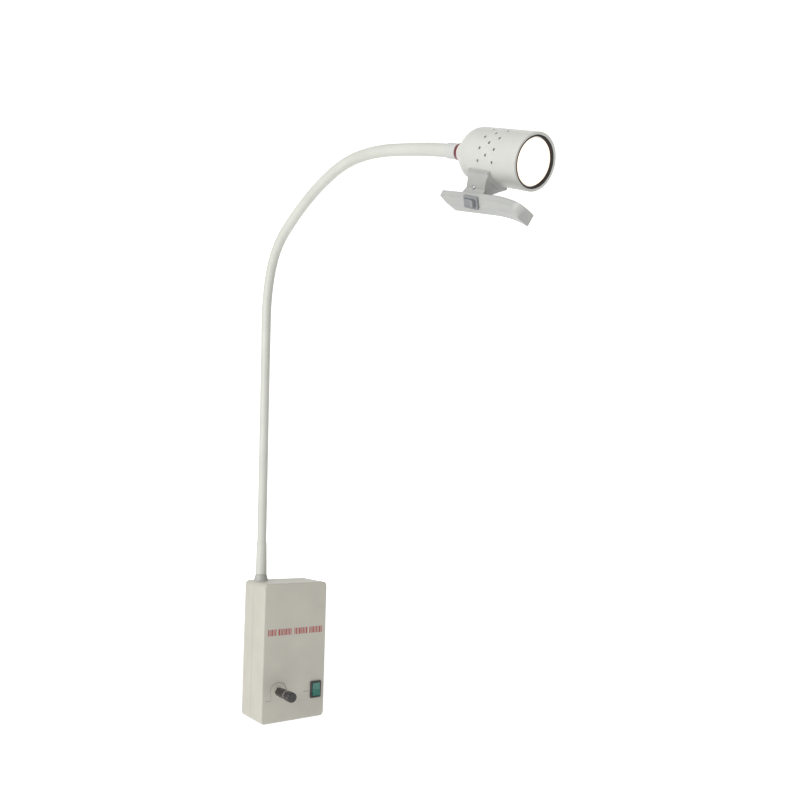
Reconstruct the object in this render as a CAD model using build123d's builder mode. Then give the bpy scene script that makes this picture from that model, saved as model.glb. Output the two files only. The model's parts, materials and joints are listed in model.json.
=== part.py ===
"""Wall-mounted halogen examination lamp: a slim supply box, a flexible arm and a spot head with a grip.

Millimetres, +Z up, +X to the right of someone facing the box, -Y away from the wall.
The origin is on the wall, at the centre of the box's four fixing holes.
"""

from build123d import *
import math
import os

# ---------------------------------------------------------------- driving dimensions
# supply box
box_width = 87.0
box_height = 170.0
box_depth = 54.0
base_depth = 24.4  # wall to the seam between the two half shells
wall = 2.2
box_corner = 5.0
front_round = 1.8
back_round = 1.0
lip_height = 3.0
lip_thickness = 1.2
fit_gap = 0.15  # pieces that slide together and then stay
seat_gap = 0.05  # a piece that lies against its neighbour
seam_gap = 0.3  # open line between the two shells
air_gap = 0.5  # pieces that must not touch

# fixings of the box
wall_hole_radius = 2.25
wall_hole_spacing_x = 54.0
wall_hole_spacing_z = 124.0
cover_screw_x = 35.0  # from the centre line
cover_screw_z = 66.0
cover_screw_radius = 1.5
cover_screw_head_radius = 2.8
cover_screw_length = 40.0
post_radius = 4.0

# flexible arm
neck_x = -29.4
neck_from_wall = 14.6
neck_radius = 5.6
lead_bore_radius = 1.6
link_length = 55.4
first_heading = 91.2  # degrees above straight-out; 90 is plumb
link_turns = [0, 0, 0, 0, 0, 0, 20.25, 43.75, 9, 11, 17, 9, 2, 4]  # forward bend of each length at rest
rigid_links = 2  # the first lengths stand fixed in the box
ball_radius = 4.4
ball_clearance = 0.3
socket_rim = 1.9  # how far a socket closes beyond its ball's centre
link_foot = 3.7  # from a ball's centre to the foot of its length
ball_neck_radius = 2.9
collar_radius = neck_radius + 3.4
collar_top_radius = neck_radius + 1.4
collar_height = 7.5
collar_bore_gap = 0.35
boot_height = 40.0
boot_foot_radius = neck_radius + 1.3
boot_top_radius = neck_radius + 0.5
fitting_radius = 4.9
fitting_bore = 2.5
fitting_shoulder = 1.5
fitting_below_top = 11.0
neck_nut_flats = 13.0
neck_nut_height = 4.0
neck_washer_radius = 6.6
neck_washer_thickness = 1.0

# swivel between the arm and the head
stud_radius = 3.0
running_clearance = 0.05
arm_end_gap = 4.5  # the arm's last length stops this far before the swivel
ferrule_length = 15.0
ferrule_radius = neck_radius + 0.8
ring_radius = ferrule_radius + 0.5
ring_thickness = 5.0
swivel_gap = 0.3
swivel_washer_radius = 7.7
swivel_washer_thickness = 1.6
stud_nut_flats = 8.0
stud_nut_height = 3.0

# head
lamp_radius = 17.65  # reflector lamp of the 35 mm type
lamp_room = 1.35  # between the lamp and the inside of the head
head_wall = 2.1
head_radius = lamp_radius + lamp_room + head_wall
head_tilt = 24.8  # degrees below level, the same as the arm's end
head_roll = 15.0  # the grip hangs this far round towards -X
boss_radius = 7.7
dome_centre = 33.0  # along the head's axis from the swivel ring
head_front = 97.4
vent_rows = [52.0, 61.0, 70.0]
vents_per_row = 14
vent_radius = 1.2
front_ring_depth = 7.0
front_ring_wall = 1.0
front_ring_setback = 0.4

# reflector lamp and its socket
lamp_recess = 2.2  # front glass behind the head's rim
lamp_length = 38.0
lamp_base_radius = 6.5
lamp_base_length = 12.0
lamp_rim_length = 2.4
reflector_wall = 1.2
glass_thickness = 1.2
capsule_radius = 2.8
capsule_length = 22.0
pin_radius = 0.5
pin_spacing = 4.0
pin_length = 6.0
lamp_socket_radius = 8.6
lamp_socket_length = 14.0
socket_plate_thickness = 1.2
socket_screw_radius = 1.2
socket_screw_spacing = 27.0

# handle
saddle_start = 40.0
saddle_end = 67.0
saddle_half_angle = 33.0
saddle_thickness = 2.5
stem_half_width = 4.0
stem_waist = 30.0  # distance below the head's axis where the stem has narrowed
stem_waist_rear = 38.0
stem_waist_front = 62.5
stem_flare = 4.5  # the stem widens this much, front and rear, where it meets the grip
grip_half_width = 10.5
grip_start = 18.0
grip_straight_end = 78.0  # the rear of the grip is straight, then it bows down
grip_end = 119.5
grip_top_rear = 38.4  # distances below the head's axis
grip_top_mid = 34.6
grip_bow_radius = 160.0
grip_depth = 9.2
parting_depth = 5.2  # top of the grip to the line where its two shells meet
belly_slope = 4.5  # each flank comes in this much from the parting line to the belly
grip_edge_round = 1.8
grip_tip_round = grip_half_width - 1.0  # seen from above
grip_rear_round = 1.5
rear_cut = 9.0  # the underside starts this far ahead of the top
lead_slot_length = 12.0
lead_slot_width = 3.0

# rocker switches: length, width of the bezel
rocker_tilt = 7.0
bezel_thickness = 2.0
power_bezel_length = 21.0
power_bezel_width = 15.0
power_switch_depth = 17.0
grip_bezel_length = 18.0
grip_bezel_width = 10.0
grip_switch_depth = 4.5
bezel_rim = 1.8
cutout_rim = 1.2  # bezel beyond the body that passes through the panel
rocker_side_gap = 0.3
rocker_end_gap = 0.8
rocker_rise = 1.2
rocker_thickness = 2.8  # below the pivot
rocker_room = 0.9  # under the rocker
pivot_radius = 1.0
power_switch_x = 30.5
power_switch_z = -50.0
grip_switch_at = 60.0  # along the head's axis
grip_switch_angle = 45.0  # the switch faces this far below sideways
grip_switch_sink = 0.4  # its panel lies this far inside the flank

# dimmer
dimmer_x = -21.6
dimmer_z = -46.5
shaft_radius = 3.0
bush_radius = 3.75
bush_proud = 4.0
dimmer_nut_flats = 10.4
dimmer_nut_height = 3.2
pot_radius = 8.3
pot_depth = 8.0
knob_radius = 5.3
knob_cap_radius = 5.9
knob_barrel_length = 17.0
knob_ring_length = 1.8
knob_cap_length = 12.5
shaft_grip = 15.0

# circuit board
board_width = 48.0
board_height = 35.0
board_thickness = 1.6

# transformer
core_width = 50.0
core_height = 42.0
core_stack = 20.0
core_centre_x = 6.0
core_centre_z = 24.0
window_width = 8.0
window_height = 26.0
core_leg = 17.0
coil_overhang = 7.0
bracket_thickness = 1.2

# cable inlet
inlet_x = 18.0
inlet_radius = 4.5
inlet_bore = 3.0
inlet_flange = 6.5

# ---------------------------------------------------------------- derived places
half_w = box_width / 2
half_h = box_height / 2
inner_w = box_width - 2 * wall
inner_h = box_height - 2 * wall
inner_corner = box_corner - wall
front_wall_inside = box_depth - wall
arch_plane = Plane(origin=(neck_x, 0, 0), x_dir=(0, -1, 0), z_dir=(-1, 0, 0))


def link_ends():
    """Centre-line points (out, up) of the arm's joints and the heading at each, from the box up."""
    out, up, heading = neck_from_wall, half_h, first_heading
    ends = [(out, up, heading)]
    for turn in link_turns:
        a, b = math.radians(heading), math.radians(heading - turn)
        if turn:
            radius = link_length / (a - b)
            out += radius * (math.sin(a) - math.sin(b))
            up += radius * (math.cos(b) - math.cos(a))
        else:
            out += link_length * math.cos(a)
            up += link_length * math.sin(a)
        heading -= turn
        ends.append((out, up, heading))
    return ends


joints_at = link_ends()
swivel_out, swivel_up, _ = joints_at[-1]


def arm_section(index, along=0.0):
    """Plane across the arm at joint number index, moved along the arm's direction there."""
    out, up, heading = joints_at[index]
    a = math.radians(heading)
    direction = Vector(0, -math.cos(a), math.sin(a))
    origin = Vector(neck_x, -out, up) + direction * along
    return Plane(origin=origin, x_dir=(1, 0, 0), z_dir=direction)


tilt, roll = math.radians(head_tilt), math.radians(head_roll)
head_axis = Vector(0, -math.cos(tilt), -math.sin(tilt))
head_up = Vector(math.sin(roll), -math.sin(tilt) * math.cos(roll), math.cos(tilt) * math.cos(roll))
head_side = head_up.cross(head_axis)
head_origin = Vector(neck_x, -swivel_out, swivel_up)
head_line = Axis(head_origin, head_axis)
side_plane = Plane(origin=head_origin, x_dir=head_axis, z_dir=head_axis.cross(head_up))


def along_head(shape):
    """How far along the head's axis a face or edge lies."""
    return (shape.center() - head_origin).dot(head_axis)


def head_section(along):
    """Plane across the head's axis, local y away from the grip."""
    return Plane(origin=head_origin + head_axis * along, x_dir=head_side, z_dir=head_axis)


def save(piece, name):
    """Label a finished piece and write it."""
    piece.part.label = name
    export_step(piece.part, f"parts/{name}.step")


os.makedirs("parts", exist_ok=True)

# ---------------------------------------------------------------- supply box shells
cover_screws_at = [(x, z) for x in (-cover_screw_x, cover_screw_x) for z in (-cover_screw_z, cover_screw_z)]
front_plane = Plane.XZ.offset(box_depth)

with BuildPart() as rear_base:
    with BuildSketch(Plane.XZ):
        RectangleRounded(box_width, box_height, box_corner)
    extrude(amount=base_depth)
    fillet(rear_base.faces().sort_by(Axis.Y)[-1].outer_wire().edges(), back_round)
    with BuildSketch(Plane.XZ.offset(wall)):
        RectangleRounded(inner_w, inner_h, inner_corner)
    extrude(amount=base_depth, mode=Mode.SUBTRACT)
    # tongue that the front cover slides over
    with BuildSketch(Plane.XZ.offset(base_depth - lip_height)):
        RectangleRounded(inner_w, inner_h, inner_corner)
        RectangleRounded(inner_w - 2 * (fit_gap + lip_thickness),
                         inner_h - 2 * (fit_gap + lip_thickness), 1.4,
                         mode=Mode.SUBTRACT)
    extrude(amount=lip_height)
    with BuildSketch(Plane.XZ.offset(base_depth)):
        RectangleRounded(inner_w - 2 * fit_gap, inner_h - 2 * fit_gap, inner_corner - fit_gap)
        RectangleRounded(inner_w - 2 * (fit_gap + lip_thickness),
                         inner_h - 2 * (fit_gap + lip_thickness), 1.4,
                         mode=Mode.SUBTRACT)
    extrude(amount=lip_height)
    with BuildSketch(Plane.XZ.offset(wall)):
        with Locations(*cover_screws_at):
            Circle(post_radius)
    extrude(amount=base_depth - wall)
    with BuildSketch(Plane.XZ):
        with Locations(*cover_screws_at):
            Circle(cover_screw_radius + fit_gap)
    extrude(amount=base_depth, mode=Mode.SUBTRACT)
    with BuildSketch(Plane.XZ):
        with Locations(*cover_screws_at):
            Circle(cover_screw_head_radius + fit_gap)
    extrude(amount=cover_screw_head_radius, mode=Mode.SUBTRACT)
    with BuildSketch(Plane.XZ):
        with GridLocations(wall_hole_spacing_x, wall_hole_spacing_z, 2, 2):
            Circle(wall_hole_radius)
    extrude(amount=wall, mode=Mode.SUBTRACT)
    with BuildSketch(Plane.XY.offset(half_h - 2 * wall)):
        with Locations((neck_x, -neck_from_wall)):
            Circle(fitting_radius + fit_gap)
    extrude(amount=3 * wall, mode=Mode.SUBTRACT)
    with BuildSketch(Plane.XY.offset(-half_h)):
        with Locations((inlet_x, -neck_from_wall)):
            Circle(inlet_radius + fit_gap)
    extrude(amount=wall, mode=Mode.SUBTRACT)
save(rear_base, "rear_base")

with BuildPart() as front_cover:
    with BuildSketch(Plane.XZ.offset(base_depth + seam_gap)):
        RectangleRounded(box_width, box_height, box_corner)
    extrude(amount=box_depth - base_depth - seam_gap)
    fillet(front_cover.faces().sort_by(Axis.Y)[0].outer_wire().edges(), front_round)
    with BuildSketch(Plane.XZ.offset(base_depth)):
        RectangleRounded(inner_w, inner_h, inner_corner)
    extrude(amount=front_wall_inside - base_depth, mode=Mode.SUBTRACT)
    with BuildSketch(Plane.XZ.offset(base_depth + seat_gap)):
        with Locations(*cover_screws_at):
            Circle(post_radius)
    extrude(amount=front_wall_inside - base_depth - seat_gap)
    with BuildSketch(Plane.XZ.offset(base_depth)):
        with Locations(*cover_screws_at):
            Circle(cover_screw_radius + seat_gap)
    extrude(amount=cover_screw_head_radius + cover_screw_length + air_gap - base_depth, mode=Mode.SUBTRACT)
    with BuildSketch(front_plane.offset(-wall)):
        with Locations((dimmer_x, dimmer_z)):
            Circle(bush_radius + fit_gap)
        with Locations((power_switch_x, power_switch_z)):
            Rectangle(power_bezel_width - 2 * cutout_rim + 2 * fit_gap,
                      power_bezel_length - 2 * cutout_rim + 2 * fit_gap)
    extrude(amount=wall, mode=Mode.SUBTRACT)
save(front_cover, "front_cover")

with BuildPart() as cover_screws:
    with BuildSketch(Plane.XZ.offset(cover_screw_head_radius)):
        with Locations(*cover_screws_at):
            Circle(cover_screw_radius)
    extrude(amount=cover_screw_length)
    with BuildSketch(Plane.XZ.offset(air_gap)):
        with Locations(*cover_screws_at):
            Circle(cover_screw_head_radius)
    extrude(amount=cover_screw_head_radius - air_gap)
    with BuildSketch(Plane.XZ.offset(air_gap)):
        with Locations(*cover_screws_at):
            Rectangle(3.4, 0.9)
            Rectangle(0.9, 3.4)
    extrude(amount=1.2, mode=Mode.SUBTRACT)
save(cover_screws, "cover_screws")

with BuildPart() as inlet_grommet:
    inlet_plane = Plane(origin=(inlet_x, -neck_from_wall, -half_h), z_dir=(0, 0, 1))
    with BuildSketch(inlet_plane.offset(-1.8)):
        Circle(inlet_flange)
    extrude(amount=1.8)
    with BuildSketch(inlet_plane):
        Circle(inlet_radius)
    extrude(amount=wall)
    with BuildSketch(inlet_plane.offset(wall)):
        Circle(inlet_flange)
    extrude(amount=1.8)
    with BuildSketch(inlet_plane.offset(-1.8)):
        Circle(inlet_bore)
    extrude(amount=wall + 3.6, mode=Mode.SUBTRACT)
save(inlet_grommet, "inlet_grommet")

# ---------------------------------------------------------------- arm fitting on the box
fitting_plane = Plane(origin=(neck_x, -neck_from_wall, half_h), z_dir=(0, 0, 1))

with BuildPart() as neck_fitting:
    with BuildSketch(fitting_plane.offset(-fitting_below_top)):
        Circle(fitting_radius)
    extrude(amount=fitting_below_top)
    with BuildSketch(fitting_plane):
        Circle(neck_radius)
    extrude(amount=fitting_shoulder)
    with BuildSketch(fitting_plane.offset(-fitting_below_top)):
        Circle(fitting_bore)
    extrude(amount=fitting_below_top + fitting_shoulder, mode=Mode.SUBTRACT)
save(neck_fitting, "neck_fitting")

with BuildPart() as neck_nut:
    with BuildSketch(fitting_plane.offset(-wall - neck_washer_thickness - neck_nut_height)):
        RegularPolygon(neck_nut_flats / 2, 6, major_radius=False)
        Circle(fitting_radius + seat_gap, mode=Mode.SUBTRACT)
    extrude(amount=neck_nut_height - seat_gap)
save(neck_nut, "neck_nut")

with BuildPart() as neck_washer:
    with BuildSketch(fitting_plane.offset(-wall - neck_washer_thickness)):
        Circle(neck_washer_radius)
        Circle(fitting_radius + fit_gap, mode=Mode.SUBTRACT)
    extrude(amount=neck_washer_thickness - seat_gap)
save(neck_washer, "neck_washer")

with BuildPart() as neck_collar:
    with BuildSketch(fitting_plane.offset(seat_gap)):
        Circle(collar_radius)
    with BuildSketch(fitting_plane.offset(collar_height)):
        Circle(collar_top_radius)
    loft()
    with BuildSketch(fitting_plane):
        Circle(neck_radius + collar_bore_gap)
    extrude(amount=collar_height, mode=Mode.SUBTRACT)
    fillet(neck_collar.edges().filter_by(GeomType.CIRCLE).sort_by(Axis.Z)[-1], 0.5)
save(neck_collar, "neck_collar")

with BuildPart() as neck_boot:
    boot_plane = arm_section(0, collar_height + air_gap)
    with BuildSketch(boot_plane):
        Circle(boot_foot_radius)
    with BuildSketch(boot_plane.offset(boot_height)):
        Circle(boot_top_radius)
    loft()
    with BuildSketch(boot_plane):
        Circle(neck_radius + seat_gap)
    extrude(amount=boot_height, mode=Mode.SUBTRACT)
save(neck_boot, "neck_boot")


# ---------------------------------------------------------------- flexible arm
def arm_link(index):
    """One length of the arm: a tube with a ball below and a socket above, both on the joint centres."""
    out, up, heading = joints_at[index]
    turn = link_turns[index]
    first, last = index == 0, index == len(link_turns) - 1
    a = math.radians(heading)
    foot = fitting_shoulder + fit_gap + seat_gap if first else link_foot
    head_stop = -arm_end_gap if last else socket_rim
    with BuildPart() as link:
        with BuildLine(arch_plane) as spine:
            if turn:
                JernArc((out, up), (math.cos(a), math.sin(a)), link_length / math.radians(turn), -turn)
            else:
                Line((out, up), (out + link_length * math.cos(a), up + link_length * math.sin(a)))
        with BuildSketch(arm_section(index)):
            Circle(neck_radius)
        sweep(path=spine.wire())
        if not last:
            with BuildSketch(arm_section(index + 1)):
                Circle(neck_radius)
            extrude(amount=head_stop)
        else:
            with BuildSketch(arm_section(index + 1, head_stop)):
                Circle(neck_radius + 1)
            extrude(amount=2 * arm_end_gap, mode=Mode.SUBTRACT)
        with BuildSketch(arm_section(index, -neck_radius)):
            Circle(2 * neck_radius)
        extrude(amount=neck_radius + foot, mode=Mode.SUBTRACT)
        if not first:
            with BuildSketch(arm_section(index)):
                Circle(ball_neck_radius)
            extrude(amount=foot)
            with Locations(arm_section(index).location):
                Sphere(ball_radius)
        if not last:
            with Locations(arm_section(index + 1).location):
                Sphere(ball_radius + ball_clearance, mode=Mode.SUBTRACT)
        with BuildSketch(arm_section(index)):
            Circle(lead_bore_radius)
        sweep(path=spine.wire(), mode=Mode.SUBTRACT)
        with BuildSketch(arm_section(index, -ball_radius)):
            Circle(lead_bore_radius)
        extrude(amount=ball_radius, mode=Mode.SUBTRACT)
    return link


for number in range(len(link_turns)):
    save(arm_link(number), f"arm_link_{number + 1:02d}")

# ---------------------------------------------------------------- swivel at the arm's end
with BuildPart() as arm_ferrule:
    with BuildSketch(head_section(-arm_end_gap - ferrule_length + 4)):
        Circle(ferrule_radius)
        Circle(neck_radius + fit_gap + 0.25, mode=Mode.SUBTRACT)
    extrude(amount=ferrule_length)
    with BuildSketch(head_section(-arm_end_gap + 0.2)):
        Circle(ferrule_radius - 0.3)
        Circle(stud_radius + fit_gap, mode=Mode.SUBTRACT)
    extrude(amount=3.7)
save(arm_ferrule, "arm_ferrule")

with BuildPart() as swivel_ring:
    with BuildSketch(head_section(-0.5)):
        Circle(ring_radius)
        Circle(stud_radius + seat_gap, mode=Mode.SUBTRACT)
    extrude(amount=ring_thickness)
    fillet(swivel_ring.edges().filter_by(GeomType.CIRCLE).sort_by(SortBy.RADIUS)[-2:], 0.6)
save(swivel_ring, "swivel_ring")

washer_at = -0.5 + ring_thickness + swivel_gap
boss_at = washer_at + swivel_washer_thickness + seat_gap
with BuildPart() as swivel_washer:
    with BuildSketch(head_section(washer_at)):
        Circle(swivel_washer_radius)
        Circle(stud_radius + fit_gap, mode=Mode.SUBTRACT)
    extrude(amount=swivel_washer_thickness)
save(swivel_washer, "swivel_washer")

dome_inside = dome_centre - (head_radius - head_wall)
nut_at = dome_inside + swivel_gap + 0.2
with BuildPart() as swivel_stud:
    with BuildSketch(head_section(-arm_end_gap + 0.3)):
        Circle(stud_radius)
        Circle(lead_bore_radius, mode=Mode.SUBTRACT)
    extrude(amount=arm_end_gap - 0.3 + nut_at + stud_nut_height + 1)
save(swivel_stud, "swivel_stud")

with BuildPart() as swivel_nut:
    with BuildSketch(head_section(nut_at)):
        RegularPolygon(stud_nut_flats / 2, 6, major_radius=False)
        Circle(stud_radius + seat_gap, mode=Mode.SUBTRACT)
    extrude(amount=stud_nut_height)
save(swivel_nut, "swivel_nut")

# ---------------------------------------------------------------- head shell
with BuildPart() as head_shell:
    with BuildSketch(side_plane):
        with BuildLine():
            meet = dome_centre - math.sqrt(head_radius**2 - boss_radius**2)
            chord = math.sqrt(0.5) * head_radius
            Line((boss_at, 0), (boss_at, boss_radius))
            Line((boss_at, boss_radius), (meet, boss_radius))
            ThreePointArc((meet, boss_radius), (dome_centre - chord, chord), (dome_centre, head_radius))
            Line((dome_centre, head_radius), (head_front, head_radius))
            Line((head_front, head_radius), (head_front, 0))
            Line((head_front, 0), (boss_at, 0))
        make_face()
    revolve(axis=head_line)
    with BuildSketch(side_plane):
        with BuildLine():
            bore = head_radius - head_wall
            inner_chord = math.sqrt(0.5) * bore
            ThreePointArc((dome_centre - bore, 0), (dome_centre - inner_chord, inner_chord),
                          (dome_centre, bore))
            Line((dome_centre, bore), (head_front + 1, bore))
            Line((head_front + 1, bore), (head_front + 1, 0))
            Line((head_front + 1, 0), (dome_centre - bore, 0))
        make_face()
    revolve(axis=head_line, mode=Mode.SUBTRACT)
    with BuildSketch(head_section(0)):
        Circle(stud_radius + running_clearance)
    extrude(amount=dome_centre, mode=Mode.SUBTRACT)
    # flat seat for the swivel nut inside the dome
    with BuildSketch(head_section(dome_inside - 0.3)):
        Circle(stud_nut_flats * 0.62)
    extrude(amount=stud_nut_height + 2, mode=Mode.SUBTRACT)
    pitch = 360 / vents_per_row
    for row, along in enumerate(vent_rows):
        for hole in range(vents_per_row):
            angle = (hole + 0.5 * (row % 2)) * pitch
            under_saddle = abs(angle - 180) < saddle_half_angle + 8
            if not under_saddle:
                swing = math.radians(angle)
                outward = head_up * math.cos(swing) + head_side * math.sin(swing)
                with BuildSketch(Plane(origin=head_origin + head_axis * along, z_dir=outward)):
                    Circle(vent_radius)
                extrude(amount=head_radius + 1, mode=Mode.SUBTRACT)
    rim = head_shell.edges().filter_by(GeomType.CIRCLE).sort_by(along_head)[-2:]
    fillet(rim, 0.5)
save(head_shell, "head_shell")

shell_bore = head_radius - head_wall
ring_front = head_front - front_ring_setback
with BuildPart() as front_ring:
    with BuildSketch(head_section(ring_front - front_ring_depth)):
        Circle(shell_bore - fit_gap)
        Circle(shell_bore - fit_gap - front_ring_wall, mode=Mode.SUBTRACT)
    extrude(amount=front_ring_depth)
save(front_ring, "front_ring")

# ---------------------------------------------------------------- reflector lamp and its socket
lamp_front = head_front - lamp_recess
lamp_back = lamp_front - lamp_length
cone_end = lamp_back + lamp_base_length
rim_back = lamp_front - lamp_rim_length
with BuildPart() as lamp_reflector:
    with BuildSketch(side_plane):
        with BuildLine():
            mid = (0.42 * cone_end + 0.58 * rim_back, 0.36 * lamp_base_radius + 0.64 * (lamp_radius - 1))
            Line((lamp_back, 0), (lamp_back, lamp_base_radius))
            Line((lamp_back, lamp_base_radius), (cone_end, lamp_base_radius + 0.6))
            ThreePointArc((cone_end, lamp_base_radius + 0.6), (mid[0] - 2.6, mid[1] + 1.1),
                          (rim_back, lamp_radius - 1))
            Line((rim_back, lamp_radius - 1), (rim_back, lamp_radius))
            Line((rim_back, lamp_radius), (lamp_front, lamp_radius))
            Line((lamp_front, lamp_radius), (lamp_front, 0))
            Line((lamp_front, 0), (lamp_back, 0))
        make_face()
    revolve(axis=head_line)
    with BuildSketch(side_plane):
        with BuildLine():
            bowl = lamp_radius - 1 - reflector_wall
            throat = capsule_radius + 0.6
            glass_back = lamp_front - glass_thickness - seat_gap
            Line((cone_end + 1.5, 0), (cone_end + 1.5, throat))
            ThreePointArc((cone_end + 1.5, throat), (mid[0] - 1.4, mid[1] - 0.8), (glass_back, bowl))
            Line((glass_back, bowl), (glass_back, lamp_radius - 0.8))
            Line((glass_back, lamp_radius - 0.8), (lamp_front + 1, lamp_radius - 0.8))
            Line((lamp_front + 1, lamp_radius - 0.8), (lamp_front + 1, 0))
            Line((lamp_front + 1, 0), (cone_end + 1.5, 0))
        make_face()
    revolve(axis=head_line, mode=Mode.SUBTRACT)
    with BuildSketch(head_section(lamp_back + 4)):
        Circle(capsule_radius + seat_gap)
    extrude(amount=lamp_length / 2, mode=Mode.SUBTRACT)
    with BuildSketch(head_section(lamp_back)):
        with Locations((0, -pin_spacing / 2), (0, pin_spacing / 2)):
            Circle(pin_radius + seat_gap)
    extrude(amount=4, mode=Mode.SUBTRACT)
save(lamp_reflector, "lamp_reflector")

with BuildPart() as lamp_glass:
    with BuildSketch(head_section(lamp_front - glass_thickness)):
        Circle(lamp_radius - 0.8 - seat_gap)
    extrude(amount=glass_thickness)
save(lamp_glass, "lamp_glass")

with BuildPart() as lamp_capsule:
    with BuildSketch(head_section(lamp_back + 4 + seat_gap)):
        Circle(capsule_radius)
    extrude(amount=capsule_length)
    fillet(lamp_capsule.faces().sort_by(along_head)[-1].edges(), 2.2)
save(lamp_capsule, "lamp_capsule")

with BuildPart() as lamp_pins:
    with BuildSketch(head_section(lamp_back - pin_length)):
        with Locations((0, -pin_spacing / 2), (0, pin_spacing / 2)):
            Circle(pin_radius)
    extrude(amount=pin_length + 4 - seat_gap)
save(lamp_pins, "lamp_pins")

socket_front = lamp_back - air_gap
with BuildPart() as lamp_socket:
    with BuildSketch(head_section(socket_front - lamp_socket_length)):
        Circle(lamp_socket_radius)
    extrude(amount=lamp_socket_length)
    with BuildSketch(head_section(socket_front - 6)):
        Rectangle(2 * lamp_socket_radius - 3, socket_screw_spacing + 7)
    extrude(amount=3)
    with BuildSketch(head_section(socket_front - 6)):
        with Locations((0, -socket_screw_spacing / 2), (0, socket_screw_spacing / 2)):
            Circle(socket_screw_radius + fit_gap)
    extrude(amount=3, mode=Mode.SUBTRACT)
    with BuildSketch(head_section(socket_front - pin_length - 2)):
        with Locations((0, -pin_spacing / 2), (0, pin_spacing / 2)):
            Circle(pin_radius + fit_gap)
    extrude(amount=pin_length + 2, mode=Mode.SUBTRACT)
save(lamp_socket, "lamp_socket")

plate_back = socket_front - 3 + seat_gap
with BuildPart() as socket_plate:
    with BuildSketch(head_section(plate_back)):
        Circle(shell_bore - fit_gap)
        Circle(lamp_socket_radius + fit_gap, mode=Mode.SUBTRACT)
        with Locations((0, -socket_screw_spacing / 2), (0, socket_screw_spacing / 2)):
            Circle(socket_screw_radius + fit_gap, mode=Mode.SUBTRACT)
        with Locations((-13.5, 0), (13.5, 0)):
            Circle(2.6, mode=Mode.SUBTRACT)
    extrude(amount=socket_plate_thickness)
save(socket_plate, "socket_plate")

with BuildPart() as socket_screws:
    with BuildSketch(head_section(socket_front - 9)):
        with Locations((0, -socket_screw_spacing / 2), (0, socket_screw_spacing / 2)):
            Circle(socket_screw_radius)
    extrude(amount=9 + 2)
    with BuildSketch(head_section(plate_back + socket_plate_thickness + seat_gap)):
        with Locations((0, -socket_screw_spacing / 2), (0, socket_screw_spacing / 2)):
            Circle(2 * socket_screw_radius)
    extrude(amount=1.4)
save(socket_screws, "socket_screws")


# ---------------------------------------------------------------- handle
bow_start = (grip_straight_end, -grip_top_mid)
bow_slope = math.atan2(grip_top_rear - grip_top_mid, grip_straight_end - grip_start)
bow_turn = math.degrees((grip_end - grip_straight_end) / grip_bow_radius)
facing = math.radians(grip_switch_angle)
switch_out = -head_side * math.cos(facing) - head_up * math.sin(facing)
rise_at_switch = (grip_switch_at - grip_start) * math.tan(bow_slope)
flank_middle = grip_top_rear - rise_at_switch + (parting_depth + grip_depth) / 2
switch_origin = (head_origin + head_axis * grip_switch_at - head_up * flank_middle
                 - head_side * (grip_half_width - belly_slope / 2) - switch_out * grip_switch_sink)
grip_switch_plane = Plane(origin=switch_origin, x_dir=head_axis.cross(switch_out), z_dir=switch_out)
grip_plan = Plane(origin=head_origin - head_up * grip_top_mid, x_dir=head_axis, z_dir=-head_up)


def along_grip(half_width, low_half_width, upper, lower, edge_round=0):
    """Round tipped bar along the grip's bow, from upper to lower below its top, narrowing downwards."""
    with BuildPart() as bar:
        with BuildLine(side_plane) as bow:
            Line((grip_start, -grip_top_rear), bow_start)
            JernArc(bow_start, (math.cos(bow_slope), math.sin(bow_slope)), grip_bow_radius, -bow_turn)
        across = Plane(origin=bow.wire() @ 0, x_dir=head_side, z_dir=bow.wire() % 0)
        with BuildSketch(across) as across_sketch:
            Polygon((-half_width, -upper), (-low_half_width, -lower), (low_half_width, -lower),
                    (half_width, -upper), align=None)
            if edge_round:
                fillet(across_sketch.vertices().sort_by(Axis.Y)[-2:], edge_round)
        sweep(path=bow.wire())
        side = grip_half_width + seat_gap
        with BuildSketch(grip_plan.offset(-grip_depth)):
            with BuildLine():
                FilletPolyline((grip_straight_end, side), (grip_start, side), (grip_start, -side),
                               (grip_straight_end, -side), radius=grip_rear_round)
                FilletPolyline((grip_straight_end, side), (grip_end, side), (grip_end, -side),
                               (grip_straight_end, -side), radius=grip_tip_round)
            make_face()
        extrude(amount=4 * grip_depth, mode=Mode.INTERSECT)
    return bar.part


def switch_pocket():
    """What is taken out of the grip for its switch: the body's cut-out and a flat seat for the bezel."""
    with BuildPart() as pocket:
        with BuildSketch(grip_switch_plane.offset(-grip_switch_depth - 0.3)):
            Rectangle(grip_bezel_width - 2 * cutout_rim + 2 * fit_gap,
                      grip_bezel_length - 2 * cutout_rim + 2 * fit_gap)
        extrude(amount=grip_switch_depth + 0.3)
        with BuildSketch(grip_switch_plane):
            Rectangle(grip_bezel_width + 2 * fit_gap, grip_bezel_length + 2 * fit_gap)
        extrude(amount=grip_depth)
    return pocket.part


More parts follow.
